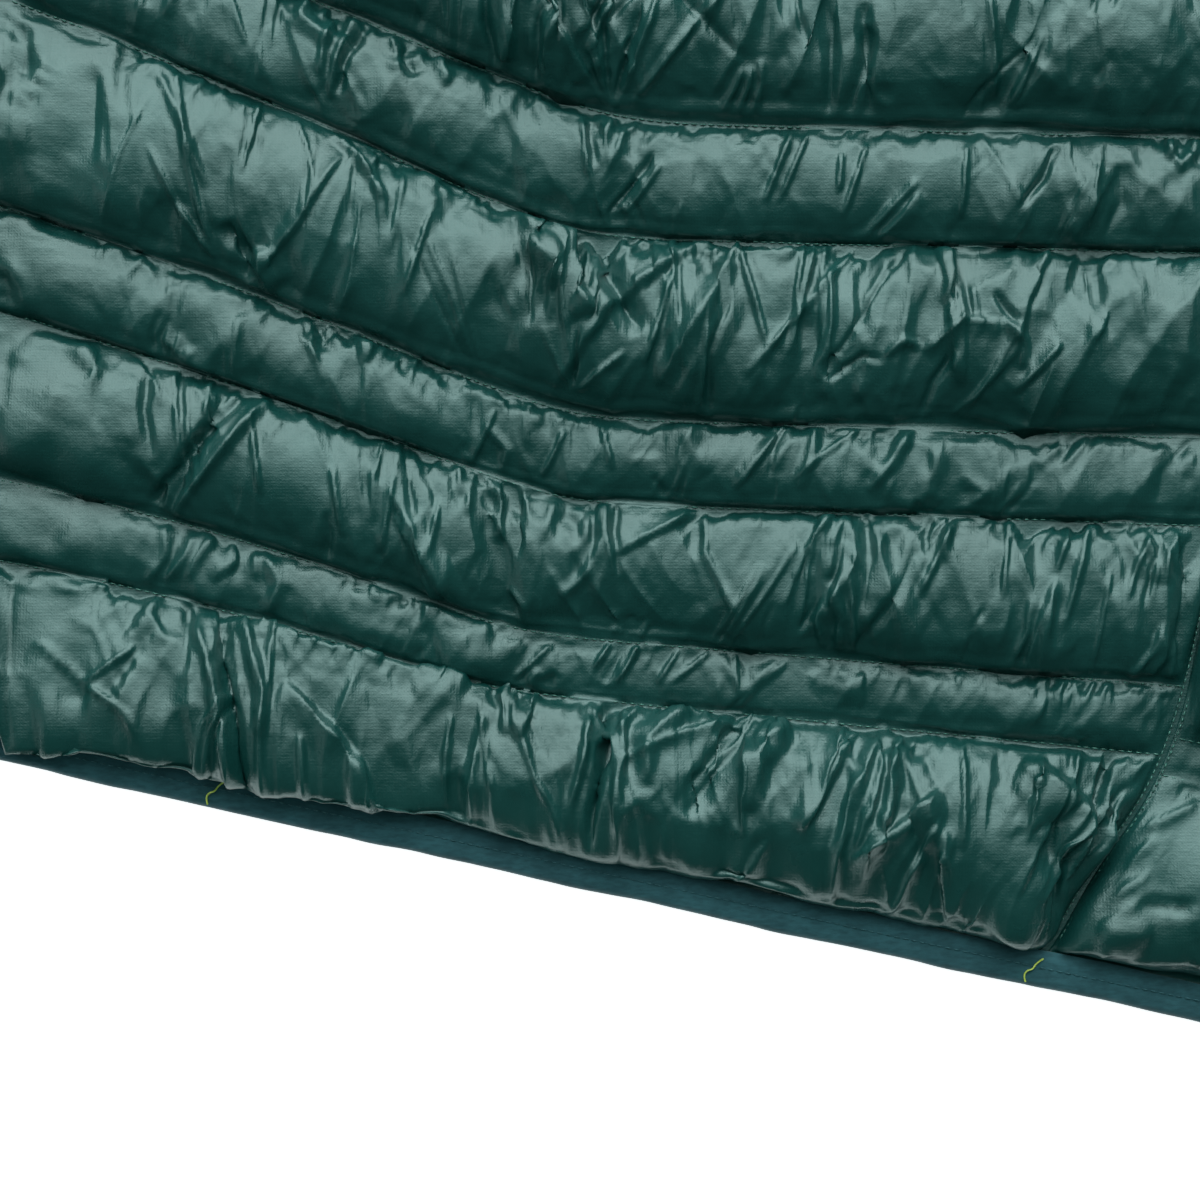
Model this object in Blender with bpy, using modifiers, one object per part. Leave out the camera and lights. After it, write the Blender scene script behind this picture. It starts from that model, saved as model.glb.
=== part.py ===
"""Camp quilt: a tapered, sewn-through down quilt, lying open on its liner.

Sizes are in metres. +Y runs from the foot to the head, +Z is up, and X = 0 is the centre line.
Heights along the quilt, called h, are measured from the lowest point of the foot hem.
"""

import math

import bmesh
import bpy
from mathutils import Vector

# Outline
LENGTH = 1.950
HALF_WIDTH_FOOT = 0.535
HALF_WIDTH_HEAD = 0.675
HEM_SLOPE = 0.22
HEM_ROUND = 0.009

# Cloth layers: heights of their middle surfaces at the seams, and the room that the down leaves them
CLOTH = 0.0006
SHELL_SEAM_Z = 0.0068
LINER_SEAM_Z = 0.0053
FILL_GAP = 0.0012
CLOTH_GAP = 0.0004

# Bound edges
BINDING_WIDTH = 0.012
BINDING_LOW_Z = 0.0043
BINDING_HIGH_Z = 0.0078
EDGE = 0.013
EDGE_INSET = 0.002
EDGE_SLOPE = 0.027

# Loft of a channel, from its width
CROWN_BASE = 0.005
CROWN_PER_WIDTH = 0.36
CROWN_LOW = 0.012
CROWN_HIGH = 0.030
SHOULDER = 0.30
FILL_INSET = 0.07
FILL_END_LIFT = 0.75

# The six seams nearest the foot, from the hem up: distance of the bend from the centre line, height of
# the bend, slope toward the centre, slope toward the side, and how fast the outer slope eases off (1/m)
FOOT_SEAMS = (
    (0.325, 0.121, 0.096, 0.345, 0.51),
    (0.317, 0.139, 0.079, 0.396, 0.58),
    (0.302, 0.181, 0.036, 0.388, 0.24),
    (0.300, 0.208, 0.031, 0.431, 0.30),
    (0.298, 0.266, 0.024, 0.476, 0.28),
    (0.285, 0.303, 0.027, 0.420, 0.10),
)
BEND_SOFTNESS = 0.010

# Channels above those seams: pairs of a wide and a narrow one, growing toward the head
PAIRS = 15
PAIR_GROWTH = 0.13
WIDE_SHARE = 0.625
FOLD_SEAM = 19
LAST_SEAM = len(FOOT_SEAMS) + 2 * PAIRS

# Foot gusset: a bell-shaped panel between two double-stitched seams, over the three lowest channels
GUSSET_CHANNELS = 3
GUSSET_TOP = 0.080
GUSSET_FLARE = 0.066
GUSSET_FLARE_HEIGHT = 0.072
GUSSET_SHOULDER = 0.005
GUSSET_SLOPE = 0.027
GUSSET_LOW_SEAM = (0.072, 0.25)
GUSSET_HIGH_SEAM = (0.088, 0.22)
THREAD_RADIUS = 0.0005
THREAD_GAP = 0.0018

# Thread tails left on the hem binding
TAIL_RADIUS = 0.00045
TAIL_Z = 0.0089
TAIL_PLACES = (0.149, 0.411)

# The fold hinge lies level with the highest crown, so the halves close face to face
FOLD_Z = 0.031


def softplus(t, softness):
    """A ramp that is 0 well below t = 0 and t well above it."""
    ratio = t / softness
    if ratio > 30:
        return t
    return softness * math.log1p(math.exp(ratio))


def half_width(h):
    return HALF_WIDTH_FOOT + (HALF_WIDTH_HEAD - HALF_WIDTH_FOOT) * h / LENGTH


def hyperbola(x, slope, rounding):
    return math.hypot(rounding, slope * x) - rounding


def hem_height(x):
    return hyperbola(x, HEM_SLOPE, HEM_ROUND)


CORNER = half_width(hem_height(HALF_WIDTH_FOOT))


def upper_seam_heights():
    """Bend heights of every seam from the sixth to the head edge."""
    weights = []
    for pair in range(PAIRS):
        size = 1 + PAIR_GROWTH * pair / (PAIRS - 1)
        weights += [size * WIDE_SHARE, size * (1 - WIDE_SHARE)]
    start = FOOT_SEAMS[-1][1]
    unit = (LENGTH - EDGE - start) / sum(weights)
    heights = [start]
    for weight in weights:
        heights.append(heights[-1] + weight * unit)
    return heights


UPPER_HEIGHTS = upper_seam_heights()


def seam_height(k, x):
    """Height of seam k at a distance x from the centre line; seam 0 is the hem's stitching."""
    x = abs(x)
    if k == 0:
        return hem_height(x) + EDGE
    if k <= len(FOOT_SEAMS):
        bend, height, inner, outer, easing = FOOT_SEAMS[k - 1]
    else:
        straightness = min(1.0, (k - len(FOOT_SEAMS)) / (FOLD_SEAM - len(FOOT_SEAMS)))
        bend, height, inner, outer, easing = FOOT_SEAMS[-1]
        height = UPPER_HEIGHTS[k - len(FOOT_SEAMS)]
        inner, outer, easing = (value * (1 - straightness) for value in (inner, outer, easing))
    past = softplus(x - bend, BEND_SOFTNESS)
    return height + inner * (x - bend) + (outer - inner) * past - easing * past * past


def gusset_half(h):
    """Half width of the gusset at height h."""
    flare = GUSSET_FLARE * math.exp(-(h - 0.033) / GUSSET_FLARE_HEIGHT)
    shoulder = GUSSET_SHOULDER * math.exp(-(((h - 0.060) / 0.022) ** 2))
    return GUSSET_TOP + flare + shoulder


def gusset_seam_height(k, x):
    """Height of the gusset's own seam k; its first and last are the quilt's own."""
    if k == 0:
        return seam_height(0, x)
    if k == GUSSET_CHANNELS:
        return seam_height(GUSSET_CHANNELS, x) - 2 * CLOTH_GAP
    middle, slope = (GUSSET_LOW_SEAM, GUSSET_HIGH_SEAM)[k - 1]
    return middle + hyperbola(x, slope, 0.006)


def crown_height(width):
    return min(CROWN_HIGH, max(CROWN_LOW, CROWN_BASE + CROWN_PER_WIDTH * width))


class Row:
    """A line across the quilt: a share of the way between two seams, with its share of the loft."""

    def __init__(self, seams, k, share, loft, offset=0.0):
        self.seams, self.k, self.share, self.loft, self.offset = seams, k, share, loft, offset

    def height(self, x):
        low = self.seams(self.k, x)
        if self.share == 0:
            return low + self.offset
        return low + self.share * (self.seams(self.k + 1, x) - low) + self.offset

    def crown(self, x):
        if self.loft == 0:
            return SHELL_SEAM_Z
        return crown_height(self.seams(self.k + 1, x) - self.seams(self.k, x))


class Column:
    """A line along the quilt: its distance from the centre at height h, and its share of the loft."""

    def __init__(self, distance, loft=1.0, side=1):
        self.distance, self.loft, self.side = distance, loft, side

    def mirrored(self):
        return Column(self.distance, self.loft, -self.side)


def fixed(x):
    return Column(lambda h: x)


def from_side(inset, loft=1.0):
    return Column(lambda h: half_width(h) - inset, loft)


def from_gusset(offset, loft):
    return Column(lambda h: gusset_half(h) + offset, loft)


def both_sides(columns, middle=True):
    """Columns from the left edge to the right, from those of the right half, centre outward."""
    left = [column.mirrored() for column in reversed(columns)]
    return left + ([fixed(0.0)] if middle else []) + list(columns)


def place(column, row):
    """Where a column crosses a row: x and h."""
    x = column.distance(row.height(0.1))
    for _ in range(5):
        x = column.distance(row.height(x))
    return column.side * x, row.height(x)


def shell_point(column, row):
    x, h = place(column, row)
    z = SHELL_SEAM_Z + (row.crown(x) - SHELL_SEAM_Z) * row.loft * column.loft
    return Vector((x, h - LENGTH / 2, z))


def liner_point(column, row):
    x, h = place(column, row)
    z = LINER_SEAM_Z - (LINER_SEAM_Z - CLOTH / 2) * row.loft * column.loft
    return Vector((x, h - LENGTH / 2, z))


def fabric(name, colour, roughness):
    material = bpy.data.materials.new(name)
    material.use_nodes = True
    shader = material.node_tree.nodes["Principled BSDF"]
    shader.inputs["Base Color"].default_value = (*colour, 1.0)
    shader.inputs["Roughness"].default_value = roughness
    shader.inputs["Metallic"].default_value = 0.0
    return material


def start_scene():
    for thing in list(bpy.context.scene.objects):
        bpy.data.objects.remove(thing, do_unlink=True)
    collection = bpy.data.collections.new("camp_quilt")
    bpy.context.scene.collection.children.link(collection)
    return collection


def add_piece(name, bm, material, head_axis=None):
    """Make a named object; the head half's pieces hang on the fold's axis."""
    if head_axis:
        bmesh.ops.translate(bm, verts=bm.verts, vec=-head_axis.location)
    bmesh.ops.recalc_face_normals(bm, faces=bm.faces)
    mesh = bpy.data.meshes.new(name)
    bm.to_mesh(mesh)
    bm.free()
    mesh.materials.append(material)
    piece = bpy.data.objects.new(name, mesh)
    COLLECTION.objects.link(piece)
    piece.parent = head_axis
    return piece


def add_cell(bm, corners):
    """Two triangles, parted along the steeper diagonal so that the cloth bulges over the down."""
    a, b, c, d = corners
    if abs(a.co.z - c.co.z) >= abs(b.co.z - d.co.z):
        halves = ((a, b, c), (a, c, d))
    else:
        halves = ((a, b, d), (b, c, d))
    for half in halves:
        bm.faces.new(half)


def add_sheet(name, points, material, head_axis=None, left_out=None):
    """A cloth sheet: a mapped grid of points, thickened evenly about its middle surface."""
    bm = bmesh.new()
    grid = [[bm.verts.new(point) for point in line] for line in points]
    for i in range(len(grid) - 1):
        for j in range(len(grid[0]) - 1):
            if left_out and left_out(i, j):
                continue
            add_cell(bm, (grid[i][j], grid[i][j + 1], grid[i + 1][j + 1], grid[i + 1][j]))
    loose = [vert for vert in bm.verts if not vert.link_faces]
    bmesh.ops.delete(bm, geom=loose, context="VERTS")
    piece = add_piece(name, bm, material, head_axis)
    solidify = piece.modifiers.new("thickness", "SOLIDIFY")
    solidify.thickness = CLOTH
    solidify.offset = 0.0
    solidify.use_even_offset = True
    return piece


def add_loft(name, sections, material, head_axis=None):
    """A closed body through sections with the same number of points."""
    bm = bmesh.new()
    rings = [[bm.verts.new(point) for point in section] for section in sections]
    count = len(rings[0])
    for low, high in zip(rings, rings[1:]):
        for i in range(count):
            bm.faces.new((low[i], low[(i + 1) % count], high[(i + 1) % count], high[i]))
    bm.faces.new(rings[0])
    bm.faces.new(rings[-1])
    return add_piece(name, bm, material, head_axis)


def add_cord(name, points, radius, material):
    """A round thread through points, with capped ends."""
    curve = bpy.data.curves.new(name, "CURVE")
    curve.dimensions = "3D"
    curve.bevel_depth = radius
    curve.bevel_resolution = 1
    curve.use_fill_caps = True
    spline = curve.splines.new("POLY")
    spline.points.add(len(points) - 1)
    for spot, point in zip(spline.points, points):
        spot.co = (*point, 1.0)
    curve.materials.append(material)
    piece = bpy.data.objects.new(name, curve)
    COLLECTION.objects.link(piece)
    return piece


def channel_rows(seams, k):
    """The rows of one channel, without its upper seam."""
    return [Row(seams, k, 0, 0), Row(seams, k, SHOULDER, 1), Row(seams, k, 1 - SHOULDER, 1)]


def rows_between(seams, first, last, start=0.0, end=0.0):
    """Rows from seam first to seam last, those two moved by start and end."""
    rows = []
    for k in range(first, last):
        rows += channel_rows(seams, k)
    rows.append(Row(seams, last, 0, 0, end))
    rows[0].offset = start
    return rows


FOOT_COLUMNS = [fixed(0.240), fixed(0.300), fixed(0.370)]
SIDE_COLUMNS = [from_side(EDGE + EDGE_SLOPE), from_side(EDGE, 0), from_side(EDGE_INSET, 0)]


def edge_row(seams, k, offset):
    return Row(seams, k, 0, 0, offset)


def foot_rows():
    margin = [edge_row(seam_height, 0, EDGE_INSET - EDGE)]
    return margin + rows_between(seam_height, 0, FOLD_SEAM, end=-CLOTH_GAP)


def head_rows():
    margin = [edge_row(seam_height, LAST_SEAM, EDGE - EDGE_INSET)]
    return rows_between(seam_height, FOLD_SEAM, LAST_SEAM, start=CLOTH_GAP) + margin


def grid_of(rows, columns, point):
    return [[point(column, row) for column in columns] for row in rows]


def add_foot_layer(name, point, seam_z, material):
    """The foot half of the shell or liner, with its bell-shaped notch for the gusset."""
    notch_rows = 1 + len(channel_rows(seam_height, 0)) * GUSSET_CHANNELS
    beside_gusset = [from_gusset(THREAD_GAP, 1), from_gusset(GUSSET_SLOPE, 1)]
    columns = both_sides(beside_gusset + FOOT_COLUMNS + SIDE_COLUMNS)
    middle = len(columns) // 2
    points = grid_of(foot_rows(), columns, point)
    for line in points[:notch_rows]:
        for j in (middle - 1, middle + 1):
            line[j].z = seam_z
    add_sheet(name, points, material, None, lambda i, j: i < notch_rows and middle - 1 <= j <= middle)


def add_head_layer(name, point, material, head_axis):
    columns = both_sides(SIDE_COLUMNS, middle=False)
    add_sheet(name, grid_of(head_rows(), columns, point), material, head_axis)


def add_gusset_layer(name, point, material):
    margin = [edge_row(gusset_seam_height, 0, EDGE_INSET - EDGE)]
    rows = margin + rows_between(gusset_seam_height, 0, GUSSET_CHANNELS)
    columns = both_sides([fixed(0.050), from_gusset(-GUSSET_SLOPE, 1), from_gusset(-THREAD_GAP, 0)])
    add_sheet(name, grid_of(rows, columns, point), material)


def fill_section(seams, k, column):
    """The cross-section of a channel's down where a column crosses it."""
    shares = (FILL_INSET, SHOULDER, 1 - SHOULDER, 1 - FILL_INSET)
    rows = [Row(seams, k, share, min(1.0, min(share, 1 - share) / SHOULDER)) for share in shares]
    top = [shell_point(column, row) - Vector((0, 0, FILL_GAP)) for row in rows]
    bottom = [liner_point(column, row) + Vector((0, 0, FILL_GAP)) for row in rows]
    return top + bottom[::-1]


def add_fill(name, seams, k, columns, material, head_axis=None):
    sections = [fill_section(seams, k, column) for column in columns]
    return add_loft(name, sections, material, head_axis)


def add_fills(material, head_axis):
    """One body of down in each channel, and three in each of the channels that the gusset cuts."""
    side_end = from_side(EDGE + EDGE_SLOPE * FILL_END_LIFT, FILL_END_LIFT)
    side = [from_side(EDGE + EDGE_SLOPE), side_end]
    slope = GUSSET_SLOPE - THREAD_GAP
    outside = from_gusset(THREAD_GAP + slope * FILL_END_LIFT, FILL_END_LIFT)
    inside = from_gusset(-THREAD_GAP - slope * FILL_END_LIFT, FILL_END_LIFT)
    wing = [outside, from_gusset(GUSSET_SLOPE, 1)] + FOOT_COLUMNS + side
    centre = both_sides([fixed(0.050), from_gusset(-GUSSET_SLOPE, 1), inside])
    for k in range(GUSSET_CHANNELS):
        left = [column.mirrored() for column in reversed(wing)]
        add_fill(f"down_{k + 1:02d}_left", seam_height, k, left, material)
        add_fill(f"down_{k + 1:02d}_gusset", gusset_seam_height, k, centre, material)
        add_fill(f"down_{k + 1:02d}_right", seam_height, k, wing, material)
    foot = both_sides([fixed(0.100)] + FOOT_COLUMNS + side)
    for k in range(GUSSET_CHANNELS, FOLD_SEAM):
        add_fill(f"down_{k + 1:02d}", seam_height, k, foot, material)
    head = both_sides(side, middle=False)
    for k in range(FOLD_SEAM, LAST_SEAM):
        add_fill(f"down_{k + 1:02d}", seam_height, k, head, material, head_axis)


def binding_profile():
    """The folded tape's middle line: distance in from the edge, and z."""
    back = CLOTH / 2
    low, high = BINDING_LOW_Z, BINDING_HIGH_Z
    return ((BINDING_WIDTH, low), (back, low), (back, high), (BINDING_WIDTH, high))


def add_end_bindings(material, head_axis):
    stations = (0.050, 0.100, 0.146, 0.240, 0.300, 0.370, 0.495)
    right = list(stations) + [CORNER]
    across = [-x for x in reversed(right)] + [0.0] + right
    hem = []
    for inset, z in binding_profile():
        hem.append([Vector((x, hem_height(x) + inset - LENGTH / 2, z)) for x in across])
    add_sheet("binding_hem", hem, material)
    ends = (-HALF_WIDTH_HEAD, HALF_WIDTH_HEAD)
    head = [[Vector((x, LENGTH / 2 - inset, z)) for x in ends] for inset, z in binding_profile()]
    add_sheet("binding_head", head, material, head_axis)


def add_side_binding(name, side, low, high, material, head_axis=None):
    lines = []
    for inset, z in binding_profile():
        line = [Vector((side * (half_width(h) - inset), h - LENGTH / 2, z)) for h in (low, high)]
        lines.append(line)
    add_sheet(name, lines, material, head_axis)


def add_side_bindings(material, head_axis):
    fold = seam_height(FOLD_SEAM, 0)
    start = hem_height(CORNER) + EDGE
    for word, side in (("left", -1), ("right", 1)):
        add_side_binding(f"binding_{word}_foot", side, start, fold - CLOTH_GAP, material)
        end = LENGTH - EDGE
        add_side_binding(f"binding_{word}_head", side, fold + CLOTH_GAP, end, material, head_axis)


def add_gusset_threads(material):
    """A thread lies in the groove between the gusset and the outer shell."""
    seam = from_gusset(0.0, 0)
    rows = rows_between(seam_height, 0, GUSSET_CHANNELS, start=THREAD_GAP, end=-2 * THREAD_GAP)
    for word, side in (("left", -1), ("right", 1)):
        points = []
        for row in rows:
            x, h = place(seam, row)
            points.append((side * x, h - LENGTH / 2, SHELL_SEAM_Z))
        add_cord(f"gusset_thread_{word}", points, THREAD_RADIUS, material)


def add_thread_tails(material):
    """Short ends of sewing thread left on the hem binding, at the gusset's seam and farther out."""
    for word, x in zip(("inner", "outer"), TAIL_PLACES):
        points = []
        for i in range(5):
            along = -0.003 + 0.0015 * i
            across = 0.0025 + 0.0014 * i
            points.append((-x - along, hem_height(x + along) + across - LENGTH / 2, TAIL_Z))
        add_cord(f"thread_tail_{word}", points, TAIL_RADIUS, material)


COLLECTION = start_scene()


def build():
    shell_cloth = fabric("shell_nylon", (0.012, 0.088, 0.077), 0.36)
    gusset_cloth = fabric("gusset_nylon", (0.012, 0.084, 0.074), 0.36)
    liner_cloth = fabric("liner_nylon", (0.011, 0.080, 0.072), 0.45)
    tape = fabric("binding_tape", (0.010, 0.070, 0.085), 0.85)
    down = fabric("down", (0.72, 0.70, 0.66), 0.95)
    thread = fabric("seam_thread", (0.010, 0.055, 0.050), 0.70)
    tail = fabric("tail_thread", (0.42, 0.52, 0.08), 0.65)
    head_axis = bpy.data.objects.new("fold_axis", None)
    head_axis.location = (0, seam_height(FOLD_SEAM, 0) - LENGTH / 2, FOLD_Z)
    COLLECTION.objects.link(head_axis)
    add_foot_layer("outer_shell_foot", shell_point, SHELL_SEAM_Z, shell_cloth)
    add_foot_layer("liner_foot", liner_point, LINER_SEAM_Z, liner_cloth)
    add_head_layer("outer_shell_head", shell_point, shell_cloth, head_axis)
    add_head_layer("liner_head", liner_point, liner_cloth, head_axis)
    add_gusset_layer("foot_gusset_shell", shell_point, gusset_cloth)
    add_gusset_layer("foot_gusset_liner", liner_point, liner_cloth)
    add_fills(down, head_axis)
    add_end_bindings(tape, head_axis)
    add_side_bindings(tape, head_axis)
    add_gusset_threads(thread)
    add_thread_tails(tail)
    bpy.context.view_layer.update()


build()
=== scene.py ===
"""Looks of the camp quilt: cloth shells with puckered channels, bound edges, stitches and down.

Lengths are in metres. h is the height along the quilt, from the lowest point of the foot hem.
"""

import math

import bpy
import numpy as np
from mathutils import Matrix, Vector


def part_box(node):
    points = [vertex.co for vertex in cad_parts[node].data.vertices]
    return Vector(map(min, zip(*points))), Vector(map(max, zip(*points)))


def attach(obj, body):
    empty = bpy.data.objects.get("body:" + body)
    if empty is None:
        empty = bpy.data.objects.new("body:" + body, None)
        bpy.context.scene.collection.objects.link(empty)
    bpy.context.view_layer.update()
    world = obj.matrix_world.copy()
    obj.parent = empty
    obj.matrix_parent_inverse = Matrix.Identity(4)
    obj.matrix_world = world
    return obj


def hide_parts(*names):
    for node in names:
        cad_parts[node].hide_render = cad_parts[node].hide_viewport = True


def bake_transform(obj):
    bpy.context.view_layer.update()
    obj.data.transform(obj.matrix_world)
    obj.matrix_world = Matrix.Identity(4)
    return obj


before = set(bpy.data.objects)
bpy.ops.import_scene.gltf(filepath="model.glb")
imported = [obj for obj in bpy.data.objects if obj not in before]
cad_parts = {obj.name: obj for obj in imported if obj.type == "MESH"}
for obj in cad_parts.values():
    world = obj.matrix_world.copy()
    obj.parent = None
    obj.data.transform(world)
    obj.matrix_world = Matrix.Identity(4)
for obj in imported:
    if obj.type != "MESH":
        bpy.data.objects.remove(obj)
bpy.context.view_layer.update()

# The quilt's plan, as in the CAD model
LENGTH = 1.950
HALF_WIDTH_FOOT = 0.535
HALF_WIDTH_HEAD = 0.675
HEM_SLOPE = 0.22
HEM_ROUND = 0.009
EDGE = 0.013
FOOT_SEAMS = (
    (0.325, 0.121, 0.096, 0.345, 0.51),
    (0.317, 0.139, 0.079, 0.396, 0.58),
    (0.302, 0.181, 0.036, 0.388, 0.24),
    (0.300, 0.208, 0.031, 0.431, 0.30),
    (0.298, 0.266, 0.024, 0.476, 0.28),
    (0.285, 0.303, 0.027, 0.420, 0.10),
)
BEND_SOFTNESS = 0.010
PAIRS = 15
PAIR_GROWTH = 0.13
WIDE_SHARE = 0.625
FOLD_SEAM = 19
LAST_SEAM = len(FOOT_SEAMS) + 2 * PAIRS
GUSSET_CHANNELS = 3
GUSSET_TOP = 0.080
GUSSET_FLARE = 0.066
GUSSET_FLARE_HEIGHT = 0.072
GUSSET_SHOULDER = 0.005
GUSSET_LOW_SEAM = (0.072, 0.25)
GUSSET_HIGH_SEAM = (0.088, 0.22)
CROWN_BASE = 0.005
CROWN_PER_WIDTH = 0.36
CROWN_LOW = 0.012
CROWN_HIGH = 0.030

SHELL_SEAM_Z = 0.0068
LINER_SEAM_Z = 0.0053
LINER_LOW_Z = 0.0004
FILL_MIDDLE_Z = 0.0060
CLOTH = 0.0004

# The cloth's loft as a share of the fullest, and the least share of that which creases leave
LOFT_SHARE = 0.62
LEAST_LOFT = 0.40

# A channel's crest lies toward its foot side, and a flat ledge by its head-side seam shows the stitches
CREST = 0.31
HEM_CREST = 0.20
HEM_RAMP = 0.005
LEDGE = 0.0014

# Half of the flat band that the gusset's double stitching lies on
GUSSET_BAND = 0.0022

# Where the gusset's seam meets the seam above it, and where the columns start to follow the side edges
GUSSET_CORNER = 0.0884
SIDE_START = 0.450
INSIDE_GUSSET = GUSSET_CORNER + 1e-4

# Extra rows under the bindings, beyond the hem's and the head's stitching
HEM_MARGINS = [-0.011, -0.006, -0.001]
HEAD_MARGINS = [0.001, 0.006, 0.011]

# How far the lowest channel hangs over the hem's binding, at places from the side edge to the middle
OVERHANG_PLACES = (-0.520, -0.400, -0.352, -0.224, -0.142, -0.096)
OVERHANG_REACH = (0.0135, 0.0125, 0.0095, 0.0085, 0.0066, 0.0035)

# The lowest channels are seen close up, so their cloth is finer and simulated
CLOSE_CHANNELS = 6

# The simulation's longest move, as a share of the channel's width
SIM_REACH = 0.13

# Hollows deeper than this times the square of the channel's width are made shallower
HOLLOW_PER_WIDTH_SQUARED = 0.9

# The highest that any cloth may lie
TOP_Z = 0.036


def softplus(t, softness):
    return softness * np.logaddexp(0.0, t / softness)


def half_width(h):
    return HALF_WIDTH_FOOT + (HALF_WIDTH_HEAD - HALF_WIDTH_FOOT) * h / LENGTH


def hyperbola(x, slope, rounding):
    return np.hypot(rounding, slope * x) - rounding


def hem_height(x):
    return hyperbola(x, HEM_SLOPE, HEM_ROUND)


def upper_seam_heights():
    weights = []
    for pair in range(PAIRS):
        size = 1 + PAIR_GROWTH * pair / (PAIRS - 1)
        weights += [size * WIDE_SHARE, size * (1 - WIDE_SHARE)]
    start = FOOT_SEAMS[-1][1]
    unit = (LENGTH - EDGE - start) / sum(weights)
    return start + unit * np.concatenate(([0.0], np.cumsum(weights)))


UPPER_HEIGHTS = upper_seam_heights()


def seam_height(k, x):
    """Height of seam k at x; seam 0 is the hem's stitching."""
    x = np.abs(x)
    if k == 0:
        return hem_height(x) + EDGE
    if k <= len(FOOT_SEAMS):
        bend, height, inner, outer, easing = FOOT_SEAMS[k - 1]
    else:
        straightness = min(1.0, (k - len(FOOT_SEAMS)) / (FOLD_SEAM - len(FOOT_SEAMS)))
        bend, height, inner, outer, easing = FOOT_SEAMS[-1]
        height = UPPER_HEIGHTS[k - len(FOOT_SEAMS)]
        inner, outer, easing = (value * (1 - straightness) for value in (inner, outer, easing))
    past = softplus(x - bend, BEND_SOFTNESS)
    return height + inner * (x - bend) + (outer - inner) * past - easing * past * past


def gusset_half(h):
    flare = GUSSET_FLARE * np.exp(-(h - 0.033) / GUSSET_FLARE_HEIGHT)
    shoulder = GUSSET_SHOULDER * np.exp(-(((h - 0.060) / 0.022) ** 2))
    return GUSSET_TOP + flare + shoulder


def gusset_seam_height(k, x):
    if k == 0:
        return seam_height(0, x)
    if k == GUSSET_CHANNELS:
        return seam_height(GUSSET_CHANNELS, x)
    middle, slope = (GUSSET_LOW_SEAM, GUSSET_HIGH_SEAM)[k - 1]
    return middle + hyperbola(x, slope, 0.006)


def crown_height(width):
    return np.clip(CROWN_BASE + CROWN_PER_WIDTH * width, CROWN_LOW, CROWN_HIGH)


def slack_crown(width):
    """The cloth's own crown, which lies lower than the fullest that the fill allows."""
    return SHELL_SEAM_Z + LOFT_SHARE * (crown_height(width) - SHELL_SEAM_Z)


# ---------------------------------------------------------------- noise


class Noise:
    """Smooth random waves between -1 and 1, the same each run."""

    def __init__(self, seed):
        self.table = np.random.RandomState(seed).uniform(-1, 1, (256, 256))

    def __call__(self, x, y):
        x, y = np.broadcast_arrays(np.asarray(x, float), np.asarray(y, float))
        xi, yi = np.floor(x).astype(int), np.floor(y).astype(int)
        fx, fy = x - xi, y - yi
        fx, fy = fx**3 * (fx * (6 * fx - 15) + 10), fy**3 * (fy * (6 * fy - 15) + 10)
        t = self.table
        a, b = t[xi % 256, yi % 256], t[(xi + 1) % 256, yi % 256]
        c, d = t[xi % 256, (yi + 1) % 256], t[(xi + 1) % 256, (yi + 1) % 256]
        return (a * (1 - fx) + b * fx) * (1 - fy) + (c * (1 - fx) + d * fx) * fy


WAVES = Noise(11)
SLANTS = Noise(23)
CRINKLES = Noise(37)


# ---------------------------------------------------------------- lattices of the padded cloths


def cosine_shares(count):
    """Shares from 0 to 1, closer together at both ends."""
    t = np.arange(count + 1) / count
    return 0.5 * t + 0.25 * (1 - np.cos(np.pi * t))


class Lattice:
    """A cloth cut into rows, each a share v of the way across channel k, and columns."""

    def __init__(self, seams, channels, columns, spacing, margins=()):
        self.seams = seams
        self.columns = columns
        rows = [(0, 0.0, inset) for inset in margins[0]] if margins else []
        for k in channels:
            width = float(seams(k + 1, 0.29) - seams(k, 0.29))
            count = 4 * max(1, int(round(width / spacing(k) / 4)))
            rows += [(k, share, 0.0) for share in cosine_shares(count)[:-1]]
        rows.append((channels[-1], 1.0, 0.0))
        if margins:
            rows += [(channels[-1], 1.0, inset) for inset in margins[1]]
        self.k = np.array([row[0] for row in rows])
        self.v = np.array([row[1] for row in rows])
        self.offset = np.array([row[2] for row in rows])
        self.x, self.h, self.width = self.solve()

    def row_heights(self, x):
        h = np.empty_like(x)
        width = np.empty_like(x)
        for k in np.unique(self.k):
            at = self.k == k
            low, high = self.seams(k, x[at]), self.seams(k + 1, x[at])
            h[at] = low + self.v[at][:, None] * (high - low) + self.offset[at][:, None]
            width[at] = high - low
        return h, width

    def solve(self):
        x = self.columns(0.5 * np.ones((len(self.k), 1)))
        for _ in range(5):
            h, width = self.row_heights(x)
            x = self.columns(h)
        h, width = self.row_heights(x)
        return x, h, width


def shell_columns(refs):
    """Places of the columns: near the gusset they follow its seam, near the sides the edge."""
    refs = np.asarray(refs)
    side, ref = np.sign(refs), np.abs(refs)
    bend, height, slope = FOOT_SEAMS[GUSSET_CHANNELS - 1][:3]
    top_h = height - slope * (bend - GUSSET_CORNER)

    def places(h):
        low = np.minimum(h, top_h)
        shift = gusset_half(low) - gusset_half(top_h)
        near = np.clip(1 - (ref - GUSSET_CORNER) / 0.25, 0, 1) ** 2 * (ref >= GUSSET_CORNER - 1e-6)
        stretch = (half_width(h) - SIDE_START) / (HALF_WIDTH_HEAD - SIDE_START)
        edge = SIDE_START + (ref - SIDE_START) * stretch
        x = np.where(ref > SIDE_START, edge, ref + shift * near)
        return side * x

    return places


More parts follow.
